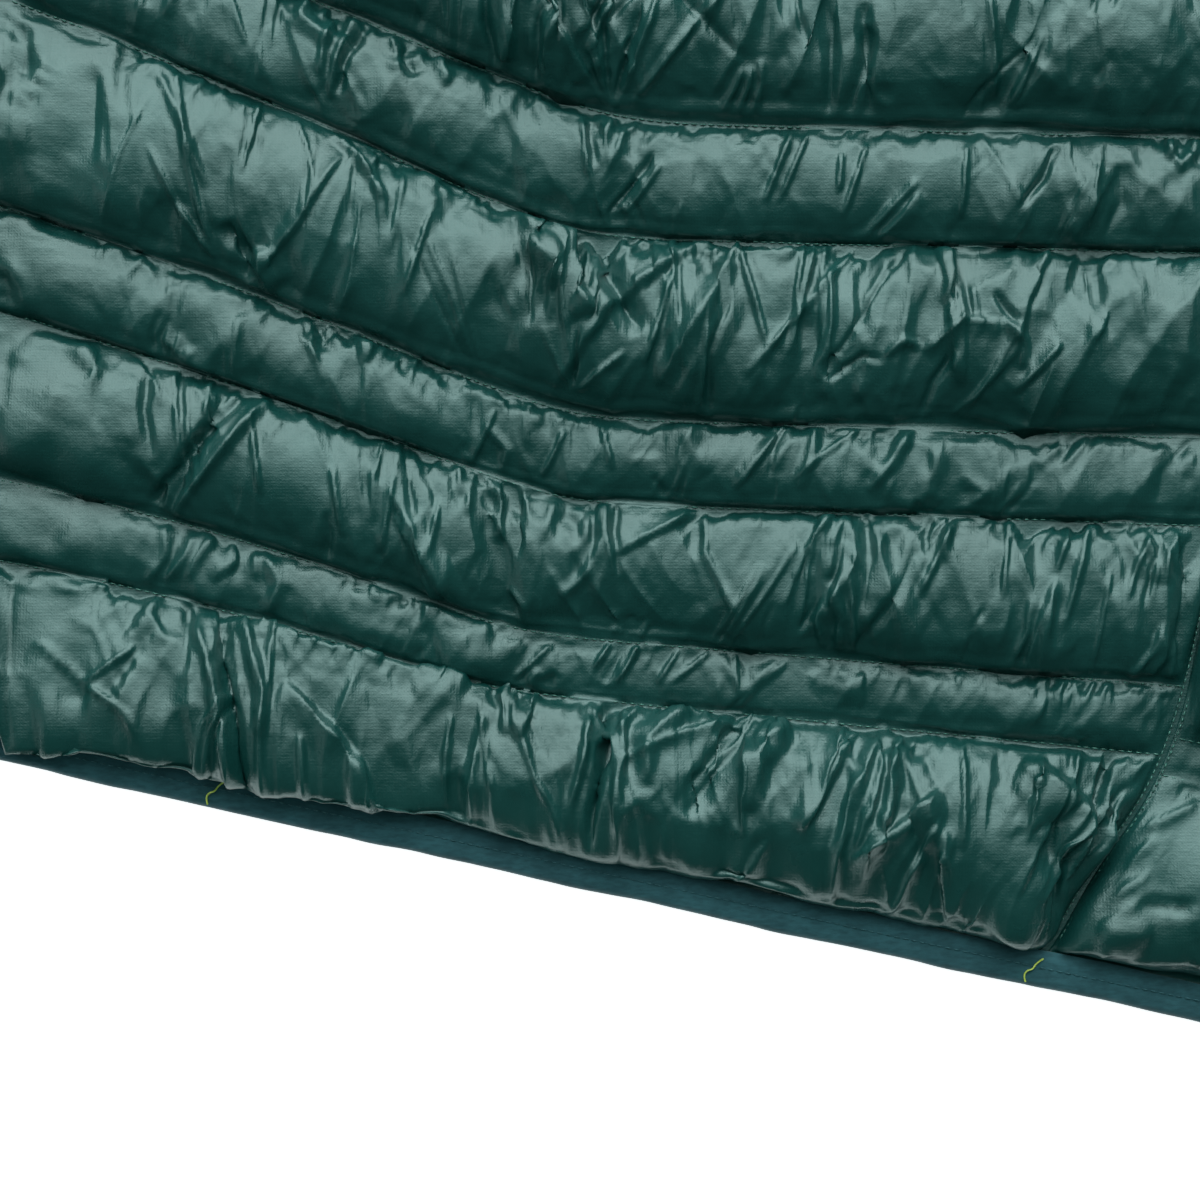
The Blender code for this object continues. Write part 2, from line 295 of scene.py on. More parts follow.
def column_refs():
    """Reference places of the columns, left to right, fine where the quilt is seen close up."""
    edge = HALF_WIDTH_HEAD
    inner = list(np.linspace(0.0, GUSSET_CORNER, 27)[:-1])
    fine = list(np.linspace(GUSSET_CORNER, SIDE_START, 481))
    outer = list(np.linspace(SIDE_START, edge - 0.020, 36))[1:]
    rim = [edge - 0.016, edge - EDGE - 0.0005, edge - EDGE + 0.0005, edge - 0.008, edge - 0.002]
    coarse = list(np.linspace(GUSSET_CORNER, SIDE_START, 121))
    left = [-x for x in reversed(inner[1:] + fine + outer + rim)]
    right = inner[1:] + coarse + outer[::2] + rim
    return np.array(left + [0.0] + right)


def side_lift(x, h):
    """The loft falls away toward the side edges."""
    inset = np.clip((half_width(h) - EDGE - np.abs(x)) / 0.034, 0, 1)
    return np.sqrt(1 - (1 - inset) ** 2)


def seam_lift(distance, reach):
    t = np.clip(distance / reach, 0, 1)
    return np.sqrt(np.maximum(1 - (1 - t) ** 2, 0))


def channel_profile(lattice):
    """Loft across a channel: steep toward the foot, sloping to the head, with a ledge at that seam."""
    v = np.clip(lattice.v[:, None] * lattice.width / (lattice.width - LEDGE), 0, 1)
    crest = np.where(lattice.k == 0, HEM_CREST, CREST)[:, None]
    foot = np.clip((crest - v) / crest, 0, 1)
    head = np.clip((v - crest) / (1 - crest), 0, 1)
    return np.where(v < crest, (1 - foot**2.2) ** 0.50, 1 - head**1.5)


def gusset_distance(x, h):
    return np.abs(np.abs(x) - gusset_half(h))


def gusset_lift(lattice):
    """The loft falls to a flat band at the gusset's double seam."""
    return seam_lift(gusset_distance(lattice.x, lattice.h) - GUSSET_BAND, 0.022)


def normals_of(points):
    along = np.gradient(points, axis=1)
    across = np.gradient(points, axis=0)
    n = np.cross(along, across)
    n /= np.maximum(np.linalg.norm(n, axis=2, keepdims=True), 1e-12)
    return n


def link(name, data):
    """A new object in the scene."""
    piece = bpy.data.objects.new(name, data)
    bpy.context.scene.collection.objects.link(piece)
    return piece


def add_mesh(name, points, cell_out=None, with_used=False):
    """A mesh from a lattice of points, less the cells that are left out."""
    rows, cols = points.shape[:2]
    index = np.arange(rows * cols).reshape(rows, cols)
    a, b = index[:-1, :-1], index[:-1, 1:]
    c, d = index[1:, 1:], index[1:, :-1]
    quads = np.stack([a, b, c, d], axis=2)
    if cell_out is not None:
        quads = quads[~cell_out]
    quads = quads.reshape(-1, 4)
    used, inverse = np.unique(quads, return_inverse=True)
    mesh = bpy.data.meshes.new(name)
    verts = points.reshape(-1, 3)[used]
    mesh.from_pydata(verts.tolist(), [], inverse.reshape(-1, 4).tolist())
    mesh.shade_smooth()
    mesh.update()
    piece = link(name, mesh)
    return (piece, used) if with_used else piece


def thicken(piece, thickness=CLOTH, offset=-1.0):
    solidify = piece.modifiers.new("thickness", "SOLIDIFY")
    solidify.thickness = thickness
    solidify.offset = offset


# ---------------------------------------------------------------- puckers and creases

PUCKER_OCTAVES = ((0.0065, 0.00055), (0.012, 0.0011), (0.022, 0.0017), (0.040, 0.0018))


def puckers(x, distance, key):
    """Gathers that run off a seam: short ones close to it, longer ones farther into the channel."""
    total = np.zeros_like(x)
    for i, (size, depth) in enumerate(PUCKER_OCTAVES):
        slant = 0.8 * SLANTS(x / (4 * size), key * 3.7 + i)
        wave = WAVES((x + slant * distance) / size + 17.3 * key, distance / (3.5 * size) + 5.1 * i)
        ridge = 1 - 2.4 * np.abs(wave) ** 0.85
        t = distance / size
        total += depth * ridge * t * np.exp(1 - t) * (0.7 + 0.6 * SLANTS(x / 0.03 + 9 * i, key))
    return total


def crinkle(x, h):
    """Slack folds over the crowns, sharp on their ridges."""
    total = np.zeros_like(x)
    for size, depth in ((0.060, 0.0014), (0.027, 0.0008), (0.012, 0.00035)):
        wx = x + 0.4 * size * SLANTS(x / size, h / size)
        wh = h + 0.4 * size * SLANTS(h / size + 31, x / size)
        wave = CRINKLES(wx / size + 0.35 * wh / size, wh / (1.8 * size))
        total += depth * (0.5 - 1.6 * np.abs(wave))
    return total


# Facets of the slack cloth: width in metres, how much longer than wide, height and lean
CRUMPLES = ((0.024, 1.9, 0.0026, 0.25), (0.012, 2.1, -0.0011, 0.5), (0.0065, 1.7, 0.00045, -0.2))
CREASE_STRENGTH = 1.25

# A crease is looked for no farther than this from its points
CREASE_MARGIN = 0.008

# Folds that run off the seams: how many a metre, usual half width, steepness, longest share of a channel
FOLD_KINDS = ((62, 0.0016, 0.80, 0.95), (13, 0.0040, 0.55, 1.05))

# Creases of the part seen close up, in millimetres, by kind: half width, height and the points that it
# runs through, measured from the centre line and up from the hem's lowest point
CREASES = {
    "ridge": (
        (1.6, 1.6, ((-296, 341), (-286, 305))), (2.0, 2.0, ((-269, 341), (-281, 307))),
        (2.6, 1.8, ((-250, 341), (-278, 305))), (1.4, 1.2, ((-268, 288), (-280, 271))),
        (1.8, 1.6, ((-226, 298), (-236, 275))), (1.4, 1.3, ((-221, 298), (-231, 275))),
        (1.8, 1.5, ((-211, 291), (-212, 278))), (1.8, 1.6, ((-202, 295), (-211, 270))),
        (1.6, 1.6, ((-294, 302), (-292, 283))), (1.2, 1.5, ((-291, 264), (-294, 238))),
        (1.6, 1.7, ((-264, 254), (-269, 238), (-275, 222))), (1.0, 0.9, ((-307, 234), (-297, 214))),
        (3.2, 2.2, ((-215, 257), (-215, 235), (-219, 216))),
        (2.0, 1.7, ((-198, 225), (-192, 230), (-186, 228))),
        (3.0, 2.4, ((-160, 237), (-154, 230), (-154, 221))),
        (2.6, 2.0, ((-165, 341), (-163, 322), (-162, 304))), (1.8, 1.5, ((-147, 328), (-157, 303))),
        (1.6, 1.5, ((-171, 293), (-173, 269))), (1.8, 1.4, ((-128, 290), (-133, 267))),
        (2.0, 1.8, ((-424, 317), (-419, 286), (-411, 254))),
        (1.6, 1.6, ((-432, 293), (-421, 270), (-411, 254))), (1.6, 1.5, ((-397, 310), (-402, 283))),
        (1.4, 1.4, ((-342, 272), (-350, 245))), (1.4, 1.5, ((-299, 203), (-307, 187))),
        (1.4, 1.3, ((-288, 205), (-284, 190))), (1.4, 1.2, ((-202, 205), (-227, 187))),
        (3.0, 1.6, ((-301, 149), (-291, 158), (-288, 168))), (1.8, 1.5, ((-208, 174), (-213, 149))),
        (2.0, 1.6, ((-173, 176), (-187, 149))), (1.4, 1.4, ((-157, 174), (-160, 149))),
        (2.2, 1.6, ((-131, 174), (-141, 139))), (1.8, 1.8, ((-374, 190), (-370, 168))),
        (1.6, 1.6, ((-400, 206), (-396, 181))), (1.6, 1.5, ((-339, 181), (-344, 158))),
        (1.6, 2.2, ((-283, 139), (-286, 133), (-290, 127))),
        (1.6, 2.2, ((-273, 140), (-278, 130), (-283, 122))), (1.4, 1.6, ((-302, 136), (-316, 123))),
        (1.4, 1.4, ((-260, 137), (-270, 122))), (1.4, 1.4, ((-248, 136), (-266, 122))),
        (1.0, 1.0, ((-245, 134), (-244, 118))), (1.8, 1.6, ((-352, 125), (-333, 120), (-310, 117))),
        (2.4, 2.2, ((-291, 115), (-294, 94), (-299, 77))),
        (2.6, 2.2, ((-280, 114), (-283, 91), (-284, 69))), (1.4, 1.4, ((-283, 103), (-275, 114))),
        (2.0, 2.0, ((-242, 103), (-243, 85), (-243, 70))), (1.8, 1.8, ((-451, 122), (-467, 136))),
        (1.8, 1.8, ((-451, 122), (-435, 133))), (1.6, 1.6, ((-451, 122), (-432, 107))),
        (3.2, 3.0, ((-404, 145), (-396, 117), (-396, 86))),
        (3.0, 2.4, ((-418, 142), (-409, 114), (-402, 86))), (2.6, 2.2, ((-384, 104), (-381, 82))),
        (3.2, 2.4, ((-326, 110), (-331, 75))), (2.4, 1.8, ((-147, 98), (-154, 69))),
        (2.6, 2.0, ((-198, 98), (-208, 66))), (1.8, 1.6, ((-336, 110), (-339, 85))),
        (1.6, 1.5, ((-192, 106), (-202, 69))), (1.8, 1.6, ((-173, 102), (-174, 66))),
        (2.4, 2.0, ((-134, 101), (-141, 78))), (1.6, 1.6, ((-120, 65), (-110, 72))),
        (1.6, 1.5, ((-125, 55), (-112, 62))), (1.4, 1.6, ((-128, 84), (-124, 80), (-120, 78))),
        (2.2, 2.0, ((-141, 51), (-135, 69), (-129, 88))), (3.6, 2.4, ((-130, 45), (-112, 43))),
    ),
    "valley": (
        (1.2, 1.4, ((-288, 334), (-285, 305))), (1.6, 2.2, ((-275, 338), (-284, 305))),
        (1.6, 2.0, ((-271, 291), (-278, 280), (-285, 270))), (1.3, 1.2, ((-289, 301), (-286, 285))),
        (1.1, 2.2, ((-295, 233), (-296, 222), (-298, 214))),
        (1.6, 1.5, ((-215, 217), (-205, 225), (-198, 224))), (2.2, 2.2, ((-163, 245), (-156, 235))),
        (2.0, 2.2, ((-142, 293), (-147, 282), (-155, 272))),
        (1.5, 2.6, ((-278, 142), (-282, 131), (-287, 122))),
        (2.6, 6.5, ((-286, 117), (-288, 94), (-293, 74))), (1.6, 1.6, ((-451, 122), (-458, 102))),
        (3.4, 4.2, ((-411, 149), (-406, 120), (-400, 86))),
        (2.4, 3.0, ((-124, 101), (-129, 85), (-133, 69))), (3.0, 2.6, ((-128, 66), (-136, 51), (-144, 35))),
        (3.0, 2.4, ((-118, 52), (-99, 50))),
    ),
    "fold": (
        (2.2, 1.6, ((-310, 341), (-285, 303))), (1.4, 1.8, ((-288, 264), (-289, 248), (-293, 235))),
        (1.6, 1.5, ((-296, 214), (-288, 221), (-280, 227))),
        (2.6, 2.4, ((-186, 227), (-173, 237), (-160, 235))), (2.2, 2.0, ((-141, 229), (-157, 213))),
        (2.4, 2.0, ((-477, 334), (-472, 309), (-469, 282))),
        (2.6, 2.0, ((-370, 290), (-384, 267), (-398, 251))), (1.8, 1.6, ((-321, 210), (-330, 190))),
        (2.0, 1.8, ((-224, 210), (-234, 197), (-245, 184))),
        (2.6, 1.8, ((-250, 181), (-267, 171), (-285, 162))), (2.0, 1.8, ((-354, 187), (-358, 162))),
        (4.0, 3.2, ((-405, 144), (-384, 133), (-352, 125), (-330, 119))),
        (1.8, 1.6, ((-286, 94), (-259, 104), (-234, 113))),
        (1.8, 1.8, ((-248, 59), (-242, 65), (-235, 69))),
        (4.2, 3.4, ((-389, 120), (-371, 102), (-352, 78))),
        (2.6, 2.4, ((-435, 104), (-421, 94), (-403, 85))), (3.6, 2.8, ((-211, 62), (-192, 75), (-181, 85))),
        (1.8, 1.6, ((-208, 110), (-219, 85))), (1.8, 1.8, ((-115, 76), (-109, 78), (-96, 84))),
    ),
}


def crease_shape(kind, away, size):
    """Height of a crease at a signed distance from its line, as a share of its full height."""
    t = np.clip(1 - np.abs(away) / size, 0, 1)
    if kind == "fold":
        gentle = np.clip(1 - away / (2.2 * size), 0, 1) ** 1.5
        sharp = np.clip(1 + away / (0.45 * size), 0, 1)
        return np.where(away > 0, gentle, sharp)
    return t**1.4 if kind == "ridge" else -(t**1.2)


def stroke(x, h, kind, size, height, line):
    """Height that one crease adds at each point."""
    best = np.full(x.shape, 9.0)
    signed = np.zeros(x.shape)
    place = np.zeros(x.shape)
    steps = [math.dist(a, b) for a, b in zip(line, line[1:])]
    total, passed = sum(steps), 0.0
    for (ax, ah), (bx, bh), step in zip(line, line[1:], steps):
        ux, uh = (bx - ax) / step, (bh - ah) / step
        along = np.clip((x - ax) * ux + (h - ah) * uh, 0, step)
        gap_x, gap_h = x - ax - along * ux, h - ah - along * uh
        gap = np.hypot(gap_x, gap_h)
        nearer = gap < best
        best = np.where(nearer, gap, best)
        signed = np.where(nearer, np.sign(gap_x * uh - gap_h * ux + 1e-12) * gap, signed)
        place = np.where(nearer, (passed + along) / total, place)
        passed += step
    taper = 1 - np.abs(2 * place - 1) ** 4
    return height * taper * crease_shape(kind, signed, size)


def seen_creases(x, h):
    """The listed creases, on the quilt's left side."""
    total = np.zeros_like(x)
    for kind, creases in CREASES.items():
        for size, height, line in creases:
            line = [(a / 1000, b / 1000) for a, b in line]
            (low_x, low_h), (high_x, high_h) = np.min(line, axis=0), np.max(line, axis=0)
            at = (x > low_x - CREASE_MARGIN) & (x < high_x + CREASE_MARGIN)
            at &= (h > low_h - CREASE_MARGIN) & (h < high_h + CREASE_MARGIN)
            total[at] += stroke(x[at], h[at], kind, size / 1000, height / 1000, line)
    return total


def random_creases(lattice, k, source):
    """Fans of straight folds that run off both seams of channel k, a bundle here and there."""
    rows = np.nonzero((lattice.k == k) & (lattice.offset == 0))[0]
    x, h, width = lattice.x[rows], lattice.h[rows], lattice.width[rows]
    total = np.zeros_like(x)
    span = float(x.max() - x.min())
    mean = float(width.mean())
    for per_metre, usual_size, steepness, longest in FOLD_KINDS:
        for _ in range(int(span * per_metre)):
            head_side = source.rand() < 0.62
            start = x.min() + span * source.rand()
            reach = mean * source.uniform(0.3, longest) * (1.0 if head_side else 0.8)
            lean = source.normal(0.30 if start > -0.285 else -0.05, 0.35)
            size = usual_size * math.exp(source.normal(0, 0.45))
            height = size * steepness * source.uniform(0.7, 1.3)
            for member in range(source.randint(1, 4)):
                kind = ("ridge", "valley", "fold", "ridge")[source.randint(4)]
                at = start + 2.0 * size * member
                foot = np.interp(at, x[0], h[0]) + mean * (0.98 if head_side else 0.0)
                tip = foot + (-reach if head_side else reach) * source.uniform(0.7, 1.1)
                side = at + (tip - foot) * (lean + source.normal(0, 0.12))
                near = np.nonzero((x[0] > min(at, side) - 0.02) & (x[0] < max(at, side) + 0.02))[0]
                if len(near) < 3:
                    continue
                window = (slice(None), slice(near[0], near[-1] + 1))
                middle = ((at + side) / 2 + 0.8 * size * source.normal(), (foot + tip) / 2)
                line = [(at, foot), middle, (side, tip)]
                total[window] += stroke(x[window], h[window], kind, size, height, line)
    return rows, total


def add_creases(lattice, points):
    """Presses all creases into a cloth that has settled."""
    inside = away_from_seams(lattice, np.arange(len(lattice.k)), 0.0020, 0.0016)
    beside = np.clip((gusset_distance(lattice.x, lattice.h) - GUSSET_BAND) / 0.0030, 0, 1)
    inside *= np.where((lattice.k < GUSSET_CHANNELS)[:, None], beside, 1)
    normals = normals_of(points)
    hem = (np.clip(1 - lattice.v / 0.35, 0, 1) * (lattice.k == 0))[:, None]
    normals[:, :, 1] *= 1 - 0.9 * hem
    total = np.zeros_like(lattice.x)
    source = np.random.RandomState(71)
    for k in np.unique(lattice.k):
        rows, extra = random_creases(lattice, k, source)
        total[rows] += extra * np.clip(lattice.width[rows] / 0.055, 0.5, 1)
    total += seen_creases(lattice.x, lattice.h)
    total += band_crinkles(lattice)
    total += crumples(lattice)
    points += normals * (CREASE_STRENGTH * total * inside)[:, :, None]


def pillows(u, w, table):
    """Domes side by side with sharp valleys where they meet, from a table of random places and tilts."""
    best = np.full(u.shape, -9.0)
    cell_u, cell_w = np.floor(u).astype(int), np.floor(w).astype(int)
    for i in (-1, 0, 1):
        for j in (-1, 0, 1):
            a, b = cell_u + i, cell_w + j
            place_u, place_w, tilt_u, tilt_w = table[a % 128, b % 128].transpose(2, 0, 1)
            du, dw = u - a - 0.5 - 0.45 * place_u, w - b - 0.5 - 0.45 * place_w
            best = np.maximum(best, 0.9 * (tilt_u * du + tilt_w * dw) - 1.1 * (du * du + dw * dw))
    return best


def crumples(lattice):
    """Facets of slack cloth: domes and hollows with creases between them, longer across the channel.

    A narrow channel has little loft, so its hollows are kept shallow and don't press it flat.
    """
    source = np.random.RandomState(5)
    total = np.zeros_like(lattice.x)
    for size, stretch, depth, lean in CRUMPLES:
        table = source.uniform(-1, 1, (128, 128, 4))
        u = (lattice.x - lean * lattice.h) / size + 0.37 * lattice.k[:, None]
        w = lattice.h / (size * stretch)
        calm = np.clip(0.75 + 0.9 * SLANTS(lattice.x / 0.05 + size * 900, lattice.h / 0.05), 0.15, 1.5)
        total += depth * calm * pillows(u, w, table)
    deepest = -HOLLOW_PER_WIDTH_SQUARED * lattice.width**2
    return np.where(total < deepest, deepest + 0.25 * (total - deepest), total)


def band_crinkles(lattice):
    """Tiny bright gathers in a band on the foot side of each seam."""
    distance = (1 - lattice.v[:, None]) * lattice.width
    key = lattice.k[:, None] * 2.3
    total = np.zeros_like(lattice.x)
    for size, depth in ((0.0030, 0.00055), (0.0052, 0.0009)):
        wave = WAVES((lattice.x + 0.5 * distance) / size + key, distance / (1.6 * size) + key)
        strength = np.clip(0.75 + 1.1 * SLANTS(lattice.x / 0.035, key + 3), 0.1, 1.6)
        total += depth * (1 - 2.2 * np.abs(wave)) * strength
    return total * np.exp(-((distance / 0.0075) ** 2)) * np.clip(distance / 0.002, 0, 1)


def add_loft(lattice, seam_z, crown, lift):
    """Points of a puffed cloth before its puckers."""
    profile = channel_profile(lattice)
    z = seam_z + (crown - seam_z) * profile * lift
    return np.stack([lattice.x, lattice.h - LENGTH / 2, z], axis=2)


def pucker_field(lattice, lift):
    key = lattice.k[:, None] * np.ones_like(lattice.x)
    low = lattice.v[:, None] * lattice.width
    high = (1 - lattice.v[:, None]) * lattice.width
    calm = np.clip(lattice.width / 0.055, 0.45, 1.0)
    field = puckers(lattice.x, low, key + 0.25) + puckers(lattice.x, high, key + 0.75)
    inside = np.clip(4 * channel_profile(lattice) - 0.2, 0, 1)
    return (field * calm + crinkle(lattice.x, lattice.h) * inside) * np.clip(lift * 1.2, 0, 1)


# ---------------------------------------------------------------- cloth simulation

# The cloth is simulated this much larger, for this many frames, and is this much longer along the seams
SIM_SCALE = 20.0
SIM_FRAMES = 30
SLACK = 0.10


def relax(points, pinned, cell_out=None):
    """Lets Blender's cloth settle: sewn down where pinned, slack along the seams, blown up from below."""
    scene = bpy.context.scene
    piece, used = add_mesh("relaxing", points * SIM_SCALE, cell_out, with_used=True)
    rest = points.copy()
    rest[:, :, 0] *= 1 + SLACK
    flat_rest = rest.reshape(-1, 3)[used] * SIM_SCALE
    piece.shape_key_add(name="Basis")
    key = piece.shape_key_add(name="rest")
    key.data.foreach_set("co", flat_rest.astype(np.float32).ravel())
    key.value = 0.0
    group = piece.vertex_groups.new(name="sewn")
    group.add(np.nonzero(pinned.ravel()[used])[0].tolist(), 1.0, "ADD")
    cloth = piece.modifiers.new("cloth", "CLOTH")
    settings = cloth.settings
    settings.quality = 7
    settings.mass = 0.2
    settings.tension_stiffness = 30
    settings.compression_stiffness = 30
    settings.shear_stiffness = 10
    settings.bending_stiffness = 0.15
    settings.air_damping = 2.0
    settings.rest_shape_key = key
    settings.vertex_group_mass = "sewn"
    settings.use_pressure = True
    settings.uniform_pressure_force = 1.1
    settings.effector_weights.gravity = 0.0
    cloth.point_cache.frame_start = 1
    cloth.point_cache.frame_end = SIM_FRAMES
    for frame_number in range(1, SIM_FRAMES + 1):
        scene.frame_set(frame_number)
    shape = piece.evaluated_get(bpy.context.evaluated_depsgraph_get()).data
    settled = np.empty(len(shape.vertices) * 3, np.float32)
    shape.vertices.foreach_get("co", settled)
    result = points.reshape(-1, 3).copy()
    result[used] = settled.reshape(-1, 3) / SIM_SCALE
    bpy.data.objects.remove(piece, do_unlink=True)
    scene.frame_set(1)
    return result.reshape(points.shape)


def finer(field):
    """A field on every second row or column, made as fine as the lattice, along axis 0."""
    count = field.shape[0]
    padded = np.concatenate([2 * field[:1] - field[1:2], field, 2 * field[-1:] - field[-2:-1]])
    middle = (9 * (padded[1:-2] + padded[2:-1]) - padded[:-3] - padded[3:]) / 16
    out = np.empty((2 * count - 1,) + field.shape[1:])
    out[::2] = field
    out[1::2] = middle
    return out


def blend_at_fold(piece):
    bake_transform(piece)


def close_spacing(k):
    return 0.0009 if k <= CLOSE_CHANNELS else 0.0050


def first_bulge(lattice):
    """How far the lowest channel hangs over the hem's binding."""
    reach = np.interp(-np.abs(lattice.x), OVERHANG_PLACES, OVERHANG_REACH)
    bump = np.exp(-(((lattice.v - 0.10) / 0.07) ** 2)) * (lattice.k == 0) * (lattice.v > 0)
    uneven = 1 + 0.26 * WAVES(lattice.x / 0.030, 3.3) + 0.08 * WAVES(lattice.x / 0.009, 7.7)
    return reach * bump[:, None] * uneven


def puffed(lattice, lift):
    """The padded cloth as blown up and gathered, before it settles."""
    points = add_loft(lattice, SHELL_SEAM_Z, slack_crown(lattice.width), lift)
    points[:, :, 1] -= first_bulge(lattice) * lift
    field = pucker_field(lattice, lift) * (lattice.offset == 0)[:, None]
    points += normals_of(points) * field[:, :, None]
    return points


def keep_loft(lattice, points, lift):
    """Keeps the deepest creases clear of the fill, and the crowns no higher than TOP_Z."""
    profile = channel_profile(lattice)
    least = SHELL_SEAM_Z + LEAST_LOFT * (slack_crown(lattice.width) - SHELL_SEAM_Z) * profile * lift
    points[:, :, 2] = np.clip(points[:, :, 2], least, TOP_Z)


def away_from_seams(lattice, rows, foot_ramp, head_ramp):
    """0 at the seams and on their ledges, 1 farther into the channel."""
    v, width = lattice.v[rows][:, None], lattice.width[rows]
    hem = np.where(lattice.k[rows] == 0, HEM_RAMP, foot_ramp)[:, None]
    foot = np.clip(v * width / hem, 0, 1)
    head = np.clip(((1 - v) * width - LEDGE) / head_ramp, 0, 1)
    return foot * head * (lattice.offset[rows] == 0)[:, None]


def keep_between_seams(lattice, points):
    """Holds each channel's cloth between its seams, so that the stitches stay in view."""
    for k in np.unique(lattice.k):
        rows = np.nonzero((lattice.k == k) & (lattice.offset == 0) & (lattice.v > 0) & (lattice.v < 1))[0]
        x, h = points[rows, :, 0], points[rows, :, 1] + LENGTH / 2
        share = lattice.v[rows][:, None]
        top = lattice.seams(k + 1, x) - LEDGE * np.minimum(1, 12 * (1 - share)) - 0.0002
        low = lattice.seams(k, x) + 0.0003 if k else h
        points[rows, :, 1] = np.clip(h, low, np.maximum(low, top)) - LENGTH / 2


def limit_reach(moved, width):
    """Shortens the moves that would fold a channel flat."""
    far = np.linalg.norm(moved, axis=2)
    moved *= np.minimum(1.0, SIM_REACH * width / np.maximum(far, 1e-9))[:, :, None]


def settle_close_part(lattice, points, refs, cell_out):
    """Simulates the channels seen close up, on every fourth row and column, and adds the result back."""
    cols = np.nonzero((refs > -0.520) & (refs < 0.005))[0]
    cols = cols[: len(cols) - (len(cols) - 1) % 4]
    rows = np.nonzero((lattice.k <= CLOSE_CHANNELS) & (lattice.offset == 0))[0]
    rows = np.append(rows, rows[-1] + 1)
    window = np.ix_(rows[::4], cols[::4])
    start = points[window]
    sewn = np.zeros(start.shape[:2], bool)
    sewn[lattice.v[rows[::4]] == 0] = True
    sewn[[0, -1]] = True
    sewn[:, [0, -1]] = True
    inner = np.abs(refs[cols[::4]]) < INSIDE_GUSSET
    low = lattice.k[rows[::4]] < GUSSET_CHANNELS
    sewn |= low[:, None] & inner[None, :]
    out = low[:-1, None] & (inner[:-1] & inner[1:])[None, :]
    moved = relax(start, sewn, out) - start
    limit_reach(moved, lattice.width[window])
    fine = np.zeros((len(rows), len(cols), 3))
    coarse_k = lattice.k[rows[::4]]
    for k in range(CLOSE_CHANNELS + 1):
        at = np.nonzero(coarse_k == k)[0]
        at = np.append(at, at[-1] + 1)
        across = finer(finer(moved[at]))
        along = finer(finer(across.swapaxes(0, 1))).swapaxes(0, 1)
        fine[4 * at[0] : 4 * at[-1] + 1] = along
    fine *= away_from_seams(lattice, rows, 0.0030, 0.0040)[:, cols, None]
    spot = np.ix_(rows, cols)
    beside = np.clip((gusset_distance(lattice.x[spot], lattice.h[spot]) - GUSSET_BAND) / 0.0050, 0, 1)
    fine *= np.where((lattice.k[rows] < GUSSET_CHANNELS)[:, None], beside, 1)[:, :, None]
    points[spot] += fine
    return rows, cols, fine


def spread_wrinkles(lattice, points, refs, rows, cols, fine):
    """Gives every other channel the settled folds of one like it, mirrored and shifted along."""
    source_refs = np.abs(refs[cols])[::-1]
    done = np.zeros(points.shape[:2], bool)
    done[np.ix_(rows, cols)] = True
    first, last = 0.095, 0.500
    for i in range(len(lattice.k)):
        k = lattice.k[i]
        if lattice.offset[i] != 0 or lattice.v[i] in (0.0, 1.0):
            continue
        source = k
        wide = float(lattice.width[i].mean()) > 0.050
        if k > CLOSE_CHANNELS:
            source = (4, 6, 2)[k % 3] if wide else (5, 3)[k // 2 % 2]
        own = np.nonzero(lattice.k[rows] == source)[0]
        place = np.interp(lattice.v[i], lattice.v[rows[own]], own)
        low = int(place)
        high = min(low + 1, own[-1])
        line = fine[low] * (1 - place + low) + fine[high] * (place - low)
        line = line[::-1]
        shift = 0.37 * k
        t = (np.abs(refs) + shift * (k > CLOSE_CHANNELS)) / (last - first)
        along = first + (last - first) * np.abs((t + (refs > 0) * 0.61) % 2 - 1)
        for axis in range(3):
            extra = np.interp(along, source_refs, line[:, axis])
            points[i, :, axis] += np.where(done[i], 0, extra)


def make_shell(material):
    refs = column_refs()
    columns, margins = shell_columns(refs), (HEM_MARGINS, HEAD_MARGINS)
    lattice = Lattice(seam_height, list(range(LAST_SEAM)), columns, close_spacing, margins)
    lift = side_lift(lattice.x, lattice.h)
    lower = (lattice.k < GUSSET_CHANNELS)[:, None]
    lift = np.where(lower, lift * gusset_lift(lattice), lift)
    points = puffed(lattice, lift)
    ref = np.abs(refs)
    inner = np.maximum(ref[:-1], ref[1:]) < INSIDE_GUSSET
    cell_out = (lattice.k[:-1] < GUSSET_CHANNELS)[:, None] & inner[None, :]
    rows, cols, fine = settle_close_part(lattice, points, refs, cell_out)
    spread_wrinkles(lattice, points, refs, rows, cols, fine)
    add_creases(lattice, points)
    keep_between_seams(lattice, points)
    keep_loft(lattice, points, lift)
    piece = add_mesh("outer_shell", points, cell_out)
    piece.data.materials.append(material)
    thicken(piece)
    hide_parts("outer_shell_foot", "outer_shell_head")
    blend_at_fold(piece)


def make_gusset_shell(material):
    shares = np.concatenate([-1 + 0.55 * np.linspace(0, 1, 60) ** 1.1, np.linspace(-0.45, 1.0, 50)[1:]])

    def columns(h):
        return shares * (gusset_half(h) - 0.0006)

    channels = list(range(GUSSET_CHANNELS))
    lattice = Lattice(gusset_seam_height, channels, columns, lambda k: 0.0022, (HEM_MARGINS, []))
    lift = gusset_lift(lattice)
    points = puffed(lattice, lift)
    sewn = np.broadcast_to(((lattice.v == 0) | (lattice.offset != 0))[:, None], points.shape[:2]).copy()
    sewn[-1] = True
    sewn[:, [0, -1]] = True
    moved = relax(points, sewn) - points
    limit_reach(moved, lattice.width)
    points += moved
    add_creases(lattice, points)
    keep_between_seams(lattice, points)
    keep_loft(lattice, points, lift)
    piece = add_mesh("foot_gusset", points)
    piece.data.materials.append(material)
    thicken(piece)
    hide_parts("foot_gusset_shell")
    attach(piece, "foot_half")


